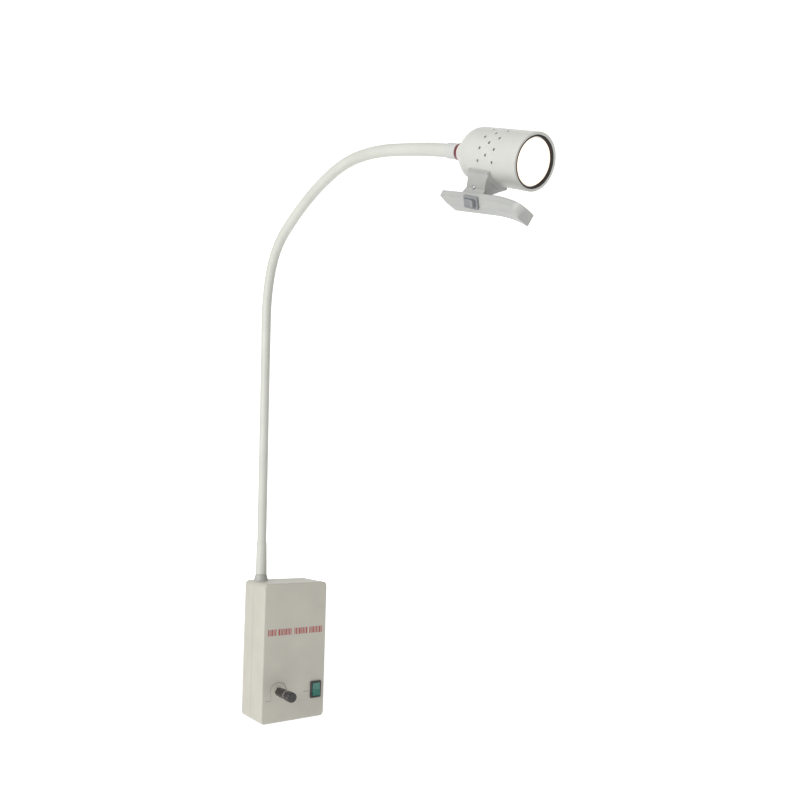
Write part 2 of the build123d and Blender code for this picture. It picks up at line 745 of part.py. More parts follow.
with BuildPart() as handle_upper:
    add(along_grip(grip_half_width, grip_half_width, 0, parting_depth, grip_edge_round))
    # saddle against the head
    for turn in (-1, 1):
        with BuildSketch(side_plane):
            Polygon((saddle_start, -head_radius), (saddle_end, -head_radius),
                    (saddle_end - 1, -head_radius - saddle_thickness),
                    (saddle_start + 1, -head_radius - saddle_thickness), align=None)
        revolve(axis=head_line, revolution_arc=turn * saddle_half_angle)
    # stem: a side outline, narrowed by a section that tapers from the saddle to a blade
    with BuildPart(mode=Mode.PRIVATE) as stem:
        foot = grip_top_rear + 0.5
        with BuildSketch(side_plane):
            with BuildLine():
                top = -head_radius + 6
                Line((saddle_start, top), (saddle_end, top))
                Line((saddle_end, top), (saddle_end - 0.5, -head_radius))
                Spline((saddle_end - 0.5, -head_radius), (stem_waist_front, -stem_waist),
                       (stem_waist_front + stem_flare, -foot))
                Line((stem_waist_front + stem_flare, -foot), (stem_waist_rear - stem_flare, -foot))
                Spline((stem_waist_rear - stem_flare, -foot), (stem_waist_rear, -stem_waist),
                       (saddle_start + 0.5, -head_radius))
                Line((saddle_start + 0.5, -head_radius), (saddle_start, top))
            make_face()
        extrude(amount=head_radius, both=True)
        edge = math.radians(saddle_half_angle)
        rim = head_radius + 0.7 * saddle_thickness
        with BuildSketch(head_section(0)):
            Polygon((-stem_half_width, -foot), (-stem_half_width, -stem_waist),
                    (-rim * math.sin(edge), -rim * math.cos(edge)), (0, 0),
                    (rim * math.sin(edge), -rim * math.cos(edge)), (stem_half_width, -stem_waist),
                    (stem_half_width, -foot), align=None)
        extrude(amount=head_front, mode=Mode.INTERSECT)
    add(stem.part)
    with BuildSketch(head_section(0)):
        Circle(head_radius + seat_gap)
    extrude(amount=head_front, mode=Mode.SUBTRACT)
    # lead way down the stem, then the switch's pocket
    with BuildSketch(Plane(origin=head_origin + head_axis * (saddle_start + saddle_end) / 2, x_dir=head_axis,
                           z_dir=-head_up)):
        SlotOverall(lead_slot_length, lead_slot_width)
    extrude(amount=grip_top_mid + parting_depth / 2, mode=Mode.SUBTRACT)
    add(switch_pocket(), mode=Mode.SUBTRACT)
save(handle_upper, "handle_upper")

with BuildPart() as handle_lower:
    add(along_grip(grip_half_width, grip_half_width - belly_slope, parting_depth + seat_gap, grip_depth))
    # slanted rear end
    with BuildSketch(side_plane):
        Polygon((grip_start, -grip_top_rear - parting_depth),
                (grip_start - rear_cut, -grip_top_rear - parting_depth),
                (grip_start - rear_cut, -grip_top_rear - 2 * grip_depth),
                (grip_start + 2 * rear_cut, -grip_top_rear - 2 * grip_depth + parting_depth), align=None)
    extrude(amount=grip_half_width + 1, both=True, mode=Mode.SUBTRACT)
    add(switch_pocket(), mode=Mode.SUBTRACT)
save(handle_lower, "handle_lower")


# ---------------------------------------------------------------- rocker switches
def switch_body(plane, length, width, depth):
    """Bezel on the panel (plane) and a body behind it; local y is the rocker's length."""
    with BuildPart() as body:
        with BuildSketch(plane.offset(seat_gap)):
            RectangleRounded(width, length, 1.2)
        extrude(amount=bezel_thickness)
        fillet(body.faces().sort_by(lambda f: (f.center() - plane.origin).dot(plane.z_dir))[-1].edges(), 0.6)
        with BuildSketch(plane.offset(-depth)):
            Rectangle(width - 2 * cutout_rim, length - 2 * cutout_rim)
        extrude(amount=depth + seat_gap)
        floor = rocker_thickness + rocker_room
        with BuildSketch(plane.offset(-floor)):
            Rectangle(width - 2 * bezel_rim - 0.8, length - 2 * bezel_rim)
        extrude(amount=floor + bezel_thickness + 1, mode=Mode.SUBTRACT)
        across = Plane(origin=plane.origin, x_dir=plane.y_dir, z_dir=plane.x_dir)
        with BuildSketch(across):
            Circle(pivot_radius + running_clearance)
        extrude(amount=width / 2 - bezel_rim + 0.2, both=True, mode=Mode.SUBTRACT)
    return body


def switch_rocker(plane, length, width, lean):
    """Rocker with a shallow V top and pivot pins, tipped by lean degrees about its pivot."""
    tip = math.radians(lean)
    along = plane.y_dir * math.cos(tip) + plane.z_dir * math.sin(tip)
    across = Plane(origin=plane.origin, x_dir=along, z_dir=plane.x_dir)
    half = length / 2 - bezel_rim - rocker_end_gap
    crest, dip = 2.6 + rocker_rise, 2.6
    with BuildPart() as rocker:
        with BuildSketch(across):
            with BuildLine():
                Polyline((-half, crest), (0, dip), (half, crest), (half, -1.0),
                         (half - 3.2, -rocker_thickness), (-half + 3.2, -rocker_thickness),
                         (-half, -1.0), close=True)
            make_face()
        extrude(amount=width / 2 - bezel_rim - 0.4 - rocker_side_gap, both=True)
        with BuildSketch(across):
            Circle(pivot_radius)
        extrude(amount=width / 2 - bezel_rim, both=True)
    return rocker


def switch_tags(plane, depth, count, spacing):
    """Push-on tags behind a switch body."""
    with BuildPart() as tags:
        with BuildSketch(plane.offset(-depth - 7)):
            with GridLocations(1, spacing, 1, count):
                Rectangle(4.8, 0.8)
        extrude(amount=7 - seat_gap)
    return tags


power_plane = Plane(origin=(power_switch_x, -box_depth, power_switch_z), x_dir=(1, 0, 0), z_dir=(0, -1, 0))
power_body = switch_body(power_plane, power_bezel_length, power_bezel_width, power_switch_depth)
save(power_body, "power_switch_body")
save(switch_rocker(power_plane, power_bezel_length, power_bezel_width, -rocker_tilt), "power_rocker")
save(switch_tags(power_plane, power_switch_depth, 3, 6.5), "power_switch_tags")
grip_body = switch_body(grip_switch_plane, grip_bezel_length, grip_bezel_width, grip_switch_depth)
save(grip_body, "grip_switch_body")
save(switch_rocker(grip_switch_plane, grip_bezel_length, grip_bezel_width, rocker_tilt), "grip_rocker")

# ---------------------------------------------------------------- dimmer
dimmer_plane = Plane(origin=(dimmer_x, -box_depth, dimmer_z), x_dir=(1, 0, 0), z_dir=(0, -1, 0))
pot_back = -wall - fit_gap - pot_depth
nut_front = dimmer_nut_height + seat_gap
knob_start = max(nut_front, bush_proud) + air_gap
shaft_tip = knob_start + shaft_grip

with BuildPart() as dimmer_body:
    with BuildSketch(dimmer_plane.offset(pot_back)):
        Circle(pot_radius)
    extrude(amount=pot_depth)
    with BuildSketch(dimmer_plane.offset(-wall - fit_gap)):
        Circle(bush_radius)
    extrude(amount=wall + fit_gap + bush_proud)
    with BuildSketch(dimmer_plane.offset(pot_back + 2)):
        Circle(shaft_radius + running_clearance)
    extrude(amount=pot_depth + wall + bush_proud, mode=Mode.SUBTRACT)
    with BuildSketch(dimmer_plane.offset(pot_back + 1)):
        with Locations((-5, -pot_radius - 1.5), (0, -pot_radius - 1.5), (5, -pot_radius - 1.5)):
            Rectangle(1.6, 7)
    extrude(amount=0.8)
save(dimmer_body, "dimmer_body")

with BuildPart() as dimmer_nut:
    with BuildSketch(dimmer_plane.offset(seat_gap)):
        RegularPolygon(dimmer_nut_flats / 2, 6, major_radius=False)
        Circle(bush_radius + seat_gap, mode=Mode.SUBTRACT)
    extrude(amount=dimmer_nut_height)
save(dimmer_nut, "dimmer_nut")

with BuildPart() as dimmer_shaft:
    with BuildSketch(dimmer_plane.offset(pot_back + 2.3)):
        Circle(shaft_radius)
    extrude(amount=shaft_tip - pot_back - 2.3)
    with BuildSketch(dimmer_plane.offset(shaft_tip - shaft_grip + 3)):
        with Locations((0, shaft_radius)):
            Rectangle(2 * shaft_radius, 2.4)
    extrude(amount=shaft_grip, mode=Mode.SUBTRACT)
save(dimmer_shaft, "dimmer_shaft")

with BuildPart() as knob_barrel:
    with BuildSketch(dimmer_plane.offset(knob_start)):
        Circle(knob_radius)
    extrude(amount=knob_barrel_length)
    with BuildSketch(dimmer_plane.offset(knob_start)):
        Circle(shaft_radius + seat_gap)
    extrude(amount=shaft_grip + 0.2, mode=Mode.SUBTRACT)
    chamfer(knob_barrel.edges().filter_by(GeomType.CIRCLE).sort_by(Axis.Y)[-1], 0.4)
save(knob_barrel, "knob_barrel")

with BuildPart() as knob_trim_ring:
    with BuildSketch(dimmer_plane.offset(knob_start + knob_barrel_length + seat_gap)):
        Circle(knob_radius + 0.35)
    extrude(amount=knob_ring_length)
save(knob_trim_ring, "knob_trim_ring")

with BuildPart() as knob_cap:
    with BuildSketch(dimmer_plane.offset(knob_start + knob_barrel_length + knob_ring_length + 2 * seat_gap)):
        Circle(knob_cap_radius)
    extrude(amount=knob_cap_length)
    fillet(knob_cap.faces().sort_by(Axis.Y)[0].edges(), 1.0)
save(knob_cap, "knob_cap")

board_plane = dimmer_plane.offset(pot_back - seat_gap - board_thickness)
with BuildPart() as dimmer_board:
    with BuildSketch(board_plane):
        with Locations((board_width / 2 - 17, 4.5)):
            Rectangle(board_width, board_height)
    extrude(amount=board_thickness)
save(dimmer_board, "dimmer_board")

with BuildPart() as board_components:
    parts_plane = board_plane.offset(-seat_gap)
    with BuildSketch(parts_plane):
        with Locations((-8, 12)):
            Rectangle(13, 6)
        with Locations((8, 12)):
            Rectangle(10, 4.5)
        with Locations((20, 10)):
            Circle(5)
        with Locations((-6, -6)):
            Circle(6.5)
            Circle(3, mode=Mode.SUBTRACT)
    extrude(amount=-9)
save(board_components, "board_components")

with BuildPart() as heat_sink:
    with BuildSketch(parts_plane):
        with Locations((16, -8)):
            Rectangle(16, 1.4)
        for fin in range(5):
            with Locations((9 + 3.4 * fin, -10)):
                Rectangle(1.1, 5)
    extrude(amount=-14)
save(heat_sink, "heat_sink")

# ---------------------------------------------------------------- transformer
core_middle = wall + coil_overhang + core_stack / 2 + air_gap
core_plane = Plane(origin=(core_centre_x, -core_middle, core_centre_z), x_dir=(1, 0, 0), z_dir=(0, -1, 0))
window_x = core_leg / 2 + window_width / 2
with BuildPart() as transformer_core:
    with BuildSketch(core_plane):
        Rectangle(core_width, core_height)
        with Locations((-window_x, 0), (window_x, 0)):
            Rectangle(window_width, window_height, mode=Mode.SUBTRACT)
    extrude(amount=core_stack / 2, both=True)
save(transformer_core, "transformer_core")

with BuildPart() as transformer_coil:
    coil_plane = Plane(origin=core_plane.origin, x_dir=(1, 0, 0), z_dir=(0, 0, 1))
    with BuildSketch(coil_plane):
        RectangleRounded(core_leg + 2 * window_width - 2 * fit_gap, core_stack + 2 * coil_overhang, 3)
        Rectangle(core_leg + 2 * fit_gap, core_stack + 2 * fit_gap, mode=Mode.SUBTRACT)
    extrude(amount=window_height / 2 - fit_gap, both=True)
save(transformer_coil, "transformer_coil")

with BuildPart() as transformer_brackets:
    foot_long = 9.0
    edge = core_width / 2 + seat_gap
    for side in (-1, 1):
        with BuildSketch(Plane(origin=(core_centre_x, -wall - seat_gap, core_centre_z), z_dir=(0, -1, 0),
                               x_dir=(1, 0, 0))):
            with Locations((side * (edge + bracket_thickness / 2), 0)):
                Rectangle(bracket_thickness, 16)
        extrude(amount=core_middle + core_stack / 2 - wall - seat_gap)
        with BuildSketch(Plane(origin=(core_centre_x, -wall - seat_gap, core_centre_z), z_dir=(0, -1, 0),
                               x_dir=(1, 0, 0))):
            with Locations((side * (edge + foot_long / 2), 0)):
                Rectangle(foot_long, 16)
            with Locations((side * (edge + foot_long - 3.5), 0)):
                Circle(1.7, mode=Mode.SUBTRACT)
        extrude(amount=bracket_thickness)
save(transformer_brackets, "transformer_brackets")

with BuildPart() as bracket_screws:
    for side in (-1, 1):
        screw_x = core_centre_x + side * (edge + foot_long - 3.5)
        with BuildSketch(Plane.XZ.offset(wall + seat_gap)):
            with Locations((screw_x, core_centre_z)):
                Circle(1.5)
        extrude(amount=bracket_thickness)
        with BuildSketch(Plane.XZ.offset(wall + 2 * seat_gap + bracket_thickness)):
            with Locations((screw_x, core_centre_z)):
                Circle(2.7)
        extrude(amount=1.8)
save(bracket_screws, "bracket_screws")

# ---------------------------------------------------------------- terminal block and fuse
with BuildPart() as terminal_block:
    with BuildSketch(Plane.XZ.offset(wall + seat_gap)):
        with Locations((18, -22)):
            Rectangle(27, 17)
    extrude(amount=7)
    with BuildSketch(Plane.XZ.offset(wall + seat_gap + 7)):
        with Locations((18, -22)):
            with GridLocations(9, 1, 3, 1):
                Rectangle(7.4, 11)
    extrude(amount=6)
    with BuildSketch(Plane.XZ.offset(wall + seat_gap + 9)):
        with Locations((18, -22)):
            with GridLocations(9, 6, 3, 2):
                Circle(1.6)
    extrude(amount=4, mode=Mode.SUBTRACT)
save(terminal_block, "terminal_block")

fuse_z, fuse_x, fuse_y = -22.0, -20.0, wall + 8.0
with BuildPart() as fuse_holder:
    with BuildSketch(Plane.XZ.offset(wall + seat_gap)):
        with Locations((fuse_x, fuse_z)):
            Rectangle(26, 9)
    extrude(amount=4)
    for end in (-8.5, 8.5):
        with BuildSketch(Plane(origin=(fuse_x + end, -fuse_y, fuse_z), z_dir=(1, 0, 0))):
            Circle(3.6)
            Circle(2.6 + seat_gap, mode=Mode.SUBTRACT)
        extrude(amount=2, both=True)
save(fuse_holder, "fuse_holder")

with BuildPart() as fuse:
    with BuildSketch(Plane(origin=(fuse_x, -fuse_y, fuse_z), z_dir=(1, 0, 0))):
        Circle(2.6)
    extrude(amount=10, both=True)
save(fuse, "fuse")

print("swivel at", [round(v, 2) for v in head_origin])
print("head axis", [round(v, 4) for v in head_axis], "up", [round(v, 4) for v in head_up])
print("power pivot", [round(v, 3) for v in power_plane.origin])
print("grip pivot", [round(v, 3) for v in grip_switch_plane.origin])
print("grip pivot axis", [round(v, 4) for v in grip_switch_plane.x_dir])
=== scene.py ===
# %% [markdown]
# Wall-mounted examination lamp, dressed in Blender.
# The hard parts come in ready made as a fixed frame: box, knob, switches, arm lengths, head and grip.
# This file adds what only a picture shows: the ribbed sleeve of the arm, prints on the box,
# the lit reflector, small screws, and a finish for every piece. Everything is in metres, +Z up,
# with the wall at Y = 0 and the lamp reaching out towards -Y.

import json
import math

import bmesh
import bpy
from mathutils import Matrix, Vector


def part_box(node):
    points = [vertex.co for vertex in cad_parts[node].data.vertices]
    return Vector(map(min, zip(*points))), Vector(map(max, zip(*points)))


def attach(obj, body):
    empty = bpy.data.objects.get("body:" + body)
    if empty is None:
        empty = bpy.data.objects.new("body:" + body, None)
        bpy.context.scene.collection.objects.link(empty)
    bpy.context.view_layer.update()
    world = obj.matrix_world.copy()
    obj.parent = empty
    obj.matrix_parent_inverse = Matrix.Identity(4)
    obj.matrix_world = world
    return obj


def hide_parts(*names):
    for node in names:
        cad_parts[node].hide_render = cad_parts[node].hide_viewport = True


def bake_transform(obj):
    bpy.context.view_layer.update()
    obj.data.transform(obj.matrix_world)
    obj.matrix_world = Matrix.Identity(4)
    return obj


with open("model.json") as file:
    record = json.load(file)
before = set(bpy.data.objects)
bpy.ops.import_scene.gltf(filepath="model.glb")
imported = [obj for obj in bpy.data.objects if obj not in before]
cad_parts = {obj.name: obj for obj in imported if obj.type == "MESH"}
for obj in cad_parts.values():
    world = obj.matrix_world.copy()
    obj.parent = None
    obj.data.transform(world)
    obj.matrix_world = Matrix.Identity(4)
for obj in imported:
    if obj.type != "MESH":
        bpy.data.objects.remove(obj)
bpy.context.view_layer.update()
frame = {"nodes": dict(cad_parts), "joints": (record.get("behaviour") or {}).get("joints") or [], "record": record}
nodes, joints = frame["nodes"], {j["name"]: j for j in frame["joints"]}

# %% [markdown]
# The camera stands to the left of the lamp, level with the top of the box, and looks slightly right.
# A level camera keeps upright edges upright. A lens shift, as on a view camera, then lifts the picture
# so that the tall arm fits, without tilting the camera and making the arm lean.

# %% camera
look, right, up = Vector((0.6057, 0.7957, 0)), Vector((0.7957, -0.6057, 0)), Vector((0, 0, 1))
lean = math.radians(1.72)
cam_right = right * math.cos(lean) + up * math.sin(lean)
cam_up = up * math.cos(lean) - right * math.sin(lean)
camera = bpy.data.objects.new("camera", bpy.data.cameras.new("camera"))
turn = Matrix((cam_right, cam_up, -look)).transposed().to_4x4()
camera.matrix_world = Matrix.Translation((-0.4451, -0.8442, 0.1798)) @ turn
camera.data.sensor_width = 36
camera.data.lens = 32.7
camera.data.shift_y = 0.1365
bpy.context.scene.collection.objects.link(camera)
bpy.context.scene.camera = camera
print("camera lens", camera.data.lens, "shift", camera.data.shift_y)

# %% [markdown]
# The set is a very large pale floor well below the lamp, a pale backdrop behind it, and a grey
# surround. Floor and backdrop give off a little light of their own, so they look white without the
# surround being bright, and round forms keep their shade. Two big soft lights stand in for studio
# boxes: the main one on the left gives the bright side of the box, a weaker one in front keeps the
# panel readable.

# %% studio
world = bpy.data.worlds.new("studio")
bpy.context.scene.world = world
world.use_nodes = True
surround = world.node_tree.nodes["Background"]
surround.inputs["Color"].default_value = (1, 1, 1, 1)
surround.inputs["Strength"].default_value = 0.46
bpy.context.scene.view_settings.view_transform = "Standard"


def soft_light(name, place, target, size, power):
    """A square area light at place, aimed at target."""
    lamp = bpy.data.objects.new(name, bpy.data.lights.new(name, "AREA"))
    lamp.data.size = size
    lamp.data.energy = power
    lamp.location = place
    lamp.rotation_euler = (Vector(target) - Vector(place)).to_track_quat("-Z", "Y").to_euler()
    bpy.context.scene.collection.objects.link(lamp)
    return lamp


middle_of_lamp = (0, -0.15, 0.2)
soft_light("left_box", (-2.2, -0.6, 1.1), middle_of_lamp, 1.4, 40)
soft_light("front_box", (0.6, -2.4, 1.3), middle_of_lamp, 1.6, 3)
bpy.ops.mesh.primitive_circle_add(vertices=96, radius=9, fill_type="NGON", location=(0, 0, -0.6))
floor = bpy.context.object
floor.name = "studio_floor"
bpy.ops.mesh.primitive_plane_add(size=9, location=look * 4.5 + Vector((0, 0, 3.8)))
backdrop = bpy.context.object
backdrop.name = "studio_backdrop"
backdrop.rotation_euler = (-look).to_track_quat("Z", "Y").to_euler()
print("studio ready")

# %% [markdown]
# Nearly every finish here is moulded plastic, powder paint or metal. None of them is one flat colour
# up close: plastic has a fine eroded grain and slight clouding, paint has orange peel, metal has
# drawn streaks. One helper builds that as nodes: a fine noise for the bump, a broad one that varies
# the colour by a few percent, and a third that varies the gloss. Each finish sets its own scales.


# %% finish helper
def finish(name, color, rough, metal=0.0, cloud=0.05, cloud_scale=30, grain=1500, bump=0.06, streak=None,
           coat=0.0, rough_change=0.06):
    """A principled material with clouded colour, uneven gloss and a fine bump, all on object coordinates."""
    mat = bpy.data.materials.new(name)
    mat.use_nodes = True
    tree = mat.node_tree
    make, join = tree.nodes.new, tree.links.new
    shader = tree.nodes["Principled BSDF"]
    place = make("ShaderNodeTexCoord")
    stretch = make("ShaderNodeMapping")
    stretch.inputs["Scale"].default_value = streak or (1, 1, 1)
    join(place.outputs["Object"], stretch.inputs["Vector"])
    broad, fine = make("ShaderNodeTexNoise"), make("ShaderNodeTexNoise")
    broad.inputs["Scale"].default_value = cloud_scale
    broad.inputs["Detail"].default_value = 3
    fine.inputs["Scale"].default_value = grain
    fine.inputs["Detail"].default_value = 2
    join(place.outputs["Object"], broad.inputs["Vector"])
    join(stretch.outputs["Vector"], fine.inputs["Vector"])
    tint = make("ShaderNodeValToRGB")
    tint.color_ramp.elements[0].position, tint.color_ramp.elements[1].position = 0.35, 0.65
    tint.color_ramp.elements[0].color = [c * (1 - cloud) for c in color] + [1]
    tint.color_ramp.elements[1].color = [min(1, c * (1 + cloud)) for c in color] + [1]
    join(broad.outputs["Fac"], tint.inputs["Fac"])
    join(tint.outputs["Color"], shader.inputs["Base Color"])
    gloss = make("ShaderNodeMapRange")
    gloss.inputs["To Min"].default_value = max(0.02, rough - rough_change)
    gloss.inputs["To Max"].default_value = min(1, rough + rough_change)
    join(fine.outputs["Fac"], gloss.inputs["Value"])
    join(gloss.outputs["Result"], shader.inputs["Roughness"])
    relief = make("ShaderNodeBump")
    relief.inputs["Strength"].default_value = bump
    relief.inputs["Distance"].default_value = 0.0004
    join(fine.outputs["Fac"], relief.inputs["Height"])
    join(relief.outputs["Normal"], shader.inputs["Normal"])
    shader.inputs["Metallic"].default_value = metal
    shader.inputs["Coat Weight"].default_value = coat
    return mat


for paper, strength in ((floor, 0.34), (backdrop, 0.56)):
    white = finish(paper.name + "_paper", (0.93, 0.93, 0.93), 0.9, cloud=0.003, bump=0.0)
    paper_shader = white.node_tree.nodes["Principled BSDF"]
    paper_shader.inputs["Emission Color"].default_value = (1, 1, 1, 1)
    paper_shader.inputs["Emission Strength"].default_value = strength
    paper.data.materials.append(white)
print("floor and backdrop papered")

# %% [markdown]
# The finishes, by the record's own slot names, so that each frame part picks up its look from the
# slot it already has. The box is warm off-white textured plastic, the arm a cooler off-white sleeve,
# the head powder-painted metal, the grip slightly greyer. Inside parts get their own plain finishes too.

# %% finishes for each slot
brushed = (1, 1, 14)
looks = {
    "box_plastic": finish("box_plastic", (0.50, 0.483, 0.42), 0.50, cloud=0.03, grain=2600, bump=0.16),
    "arm_sleeve": finish("arm_sleeve", (0.545, 0.55, 0.50), 0.48, cloud=0.03, grain=1200, bump=0.08),
    "grey_plastic": finish("grey_plastic", (0.40, 0.40, 0.375), 0.45, cloud=0.05, bump=0.10),
    "head_paint": finish("head_paint", (0.545, 0.545, 0.51), 0.40, cloud=0.025, grain=900, bump=0.14,
                         coat=0.15),
    "handle_plastic": finish("handle_plastic", (0.40, 0.405, 0.385), 0.42, cloud=0.04, grain=2200, bump=0.12),
    "arm_end_plastic": finish("arm_end_plastic", (0.53, 0.535, 0.51), 0.42, cloud=0.03),
    "ring_maroon": finish("ring_maroon", (0.13, 0.026, 0.034), 0.35, cloud=0.15, coat=0.3),
    "washer_pale": finish("washer_pale", (0.62, 0.58, 0.54), 0.45),
    "steel": finish("steel", (0.56, 0.56, 0.57), 0.32, metal=1, cloud=0.06, streak=brushed, bump=0.2),
    "bright_nut": finish("bright_nut", (0.78, 0.77, 0.75), 0.14, metal=1, cloud=0.04, bump=0.05),
    "black_plastic": finish("black_plastic", (0.016, 0.014, 0.014), 0.22, cloud=0.2, bump=0.06, coat=0.5),
    "switch_grey": finish("switch_grey", (0.215, 0.22, 0.225), 0.38, cloud=0.05),
    "rocker_green": finish("rocker_green", (0.03, 0.16, 0.125), 0.16, cloud=0.2, cloud_scale=260, coat=0.6),
    "tag_brass": finish("tag_brass", (0.70, 0.50, 0.20), 0.30, metal=1, streak=brushed),
    "lamp_mirror": finish("lamp_mirror", (0.80, 0.78, 0.76), 0.08, metal=1, bump=0.02),
    "lamp_quartz": finish("lamp_quartz", (0.95, 0.93, 0.88), 0.08, coat=0.4, bump=0.01),
    "pin_metal": finish("pin_metal", (0.62, 0.60, 0.57), 0.28, metal=1, streak=brushed),
    "ceramic": finish("ceramic", (0.78, 0.75, 0.68), 0.60, cloud=0.06, grain=900, bump=0.2),
    "board_green": finish("board_green", (0.03, 0.17, 0.07), 0.32, cloud=0.2, cloud_scale=400, coat=0.4),
    "component_mix": finish("component_mix", (0.30, 0.17, 0.06), 0.38, cloud=0.3, cloud_scale=120),
    "sink_metal": finish("sink_metal", (0.66, 0.66, 0.67), 0.38, metal=1, streak=brushed),
    "core_steel": finish("core_steel", (0.08, 0.08, 0.085), 0.45, metal=0.6, cloud=0.2, grain=900,
                         streak=(0.2, 9, 0.2), bump=0.5),
    "coil_tape": finish("coil_tape", (0.55, 0.38, 0.07), 0.30, cloud=0.06, coat=0.4, streak=(1, 1, 8)),
    "block_white": finish("block_white", (0.74, 0.74, 0.70), 0.45, cloud=0.03),
}
print("finishes:", len(looks))

# %% [markdown]
# Glass is clear, a little green at its edges, with faint waviness. The lamp's front glass is a case of
# its own: the lamp burns, so the disc is far brighter than anything else, white in the middle and
# warmer towards the rim, where the coated bowl lets a pink light through. A light-giving surface
# whose colour runs out from the lamp's axis shows that from every side and needs no dark room.

# %% glass and the burning lamp
clear = finish("lamp_glass", (0.93, 0.96, 0.94), 0.05, cloud=0.02, bump=0.01)
clear.node_tree.nodes["Principled BSDF"].inputs["Transmission Weight"].default_value = 0.9
clear.node_tree.nodes["Principled BSDF"].inputs["IOR"].default_value = 1.46
looks["lamp_glass"] = clear

swivel = joints["head_swivel"]
head_from, head_axis = Vector(swivel["pos_m"]), Vector(swivel["axis"]).normalized()
lamp_back_corner, lamp_front_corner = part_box("lamp_glass")
lamp_centre = (lamp_back_corner + lamp_front_corner) / 2
glow_radius = 0.0168


def glowing(name, centre, axis, radius, middle, edge, strength):
    """Light-giving finish whose colour runs from middle to edge, outwards from an axis."""
    mat = finish(name, edge, 0.12, cloud=0.02, bump=0.01)
    tree = mat.node_tree
    make, join = tree.nodes.new, tree.links.new
    shader = tree.nodes["Principled BSDF"]
    place, away = make("ShaderNodeTexCoord"), make("ShaderNodeVectorMath")
    away.operation = "SUBTRACT"
    away.inputs[1].default_value = centre
    join(place.outputs["Object"], away.inputs[0])
    across = make("ShaderNodeVectorMath")
    across.operation = "CROSS_PRODUCT"
    across.inputs[1].default_value = axis
    join(away.outputs["Vector"], across.inputs[0])
    reach = make("ShaderNodeVectorMath")
    reach.operation = "LENGTH"
    join(across.outputs["Vector"], reach.inputs[0])
    share = make("ShaderNodeMapRange")
    share.inputs["From Max"].default_value = radius
    join(reach.outputs["Value"], share.inputs["Value"])
    mottle = make("ShaderNodeTexVoronoi")
    mottle.inputs["Scale"].default_value = 420
    join(place.outputs["Object"], mottle.inputs["Vector"])
    uneven = make("ShaderNodeMath")
    uneven.operation = "MULTIPLY_ADD"
    uneven.inputs[1].default_value = 0.42
    join(mottle.outputs["Distance"], uneven.inputs[0])
    join(share.outputs["Result"], uneven.inputs[2])
    ramp = make("ShaderNodeValToRGB")
    ramp.color_ramp.elements[0].position = 0.70
    ramp.color_ramp.elements[0].color = (*middle, 1)
    ramp.color_ramp.elements[1].position = 1.0
    ramp.color_ramp.elements[1].color = (*edge, 1)
    join(uneven.outputs["Value"], ramp.inputs["Fac"])
    join(ramp.outputs["Color"], shader.inputs["Emission Color"])
    shader.inputs["Emission Strength"].default_value = strength
    return mat


white_hot, warm_edge = (1.0, 0.985, 0.96), (0.88, 0.70, 0.58)
lit_glass = glowing("lit_glass", lamp_centre, head_axis, glow_radius, white_hot, warm_edge, 1.0)
print("lamp centre", lamp_centre)

# %% [markdown]
# Every frame part now gets its finish. Its slot is written in the record, so a loop does it. Two
# parts differ from their slot: the lit front glass, and the ring before it, coloured near-black as painted shade
# of the dark gap round the glass.

# %% dress the frame
slot_of = {part["node"]: part["material_slot"] for part in frame["record"]["subparts"]}
for name, part in nodes.items():
    look = looks[slot_of[name]]
    if name == "lamp_glass":
        look = lit_glass
    part.data.materials.clear()
    part.data.materials.append(look)
# Painted shade: the front ring is near-black to stand for the dark gap round the lamp glass.
ring_painted_shade = finish("ring_painted_shade", (0.012, 0.010, 0.010), 0.6, cloud=0.2)
nodes["front_ring"].data.materials[0] = ring_painted_shade
print("dressed", len(nodes), "parts")

# %% [markdown]
# The arm is a sprung metal hose in a thin off-white sleeve. It is straight and smooth over most of
# its height and shows the hose's ribs where it bends over. In the frame it is fourteen lengths with
# ball joints; seen from outside it is one smooth hose. Each joint gets its own stretch of sleeve,
# from the middle of one length to the middle of the next, built in its resting shape.
# The centre line is a rule: equal lengths, each an arc with its own turn. So it is worked out here
# from the same few sizes that the frame was built with.

# %% the arm's centre line
arm_x = head_from.x
base_out, base_up = 0.0146, 0.085
first_heading = 91.2
length = 0.0554
turns = [0, 0, 0, 0, 0, 0, 20.25, 43.75, 9, 11, 17, 9, 2, 4]


def arm_at(along):
    """Point on the arm's centre line this far from the box."""
    out, rise, heading = base_out, base_up, first_heading
    for turn_deg in turns:
        part = min(along, length)
        a = math.radians(heading)
        b = a - math.radians(turn_deg) * part / length
        if turn_deg and part:
            radius = part / (a - b)
            out += radius * (math.sin(a) - math.sin(b))
            rise += radius * (math.cos(b) - math.cos(a))
        else:
            out += part * math.cos(a)
            rise += part * math.sin(a)
        along -= part
        if along <= 0:
            break
        heading -= turn_deg
    return Vector((arm_x, -out, rise))


arm_length = length * len(turns)
print("arm ends", arm_at(arm_length), "swivel", head_from)

# %% [markdown]
# Ribs repeat along a path, so Geometry Nodes make the sleeve. A row of points along the centre line
# carries two numbers: how far along it is, and how strongly it is ribbed there. The tree turns the
# row into a curve, sets its radius from those numbers with a raised sine, and sweeps a circle.

# %% sleeve tree
sleeve_tree = bpy.data.node_groups.new("ribbed_sleeve", "GeometryNodeTree")
face = sleeve_tree.interface
face.new_socket("Geometry", in_out="INPUT", socket_type="NodeSocketGeometry")
face.new_socket("Geometry", in_out="OUTPUT", socket_type="NodeSocketGeometry")
for label, value in (("Radius", 0.0055), ("Rib Height", 0.0005), ("Rib Pitch", 0.0039)):
    face.new_socket(label, in_out="INPUT", socket_type="NodeSocketFloat").default_value = value
face.new_socket("Sides", in_out="INPUT", socket_type="NodeSocketInt").default_value = 28
face.new_socket("Material", in_out="INPUT", socket_type="NodeSocketMaterial")
make, join = sleeve_tree.nodes.new, sleeve_tree.links.new
given, result = make("NodeGroupInput"), make("NodeGroupOutput")


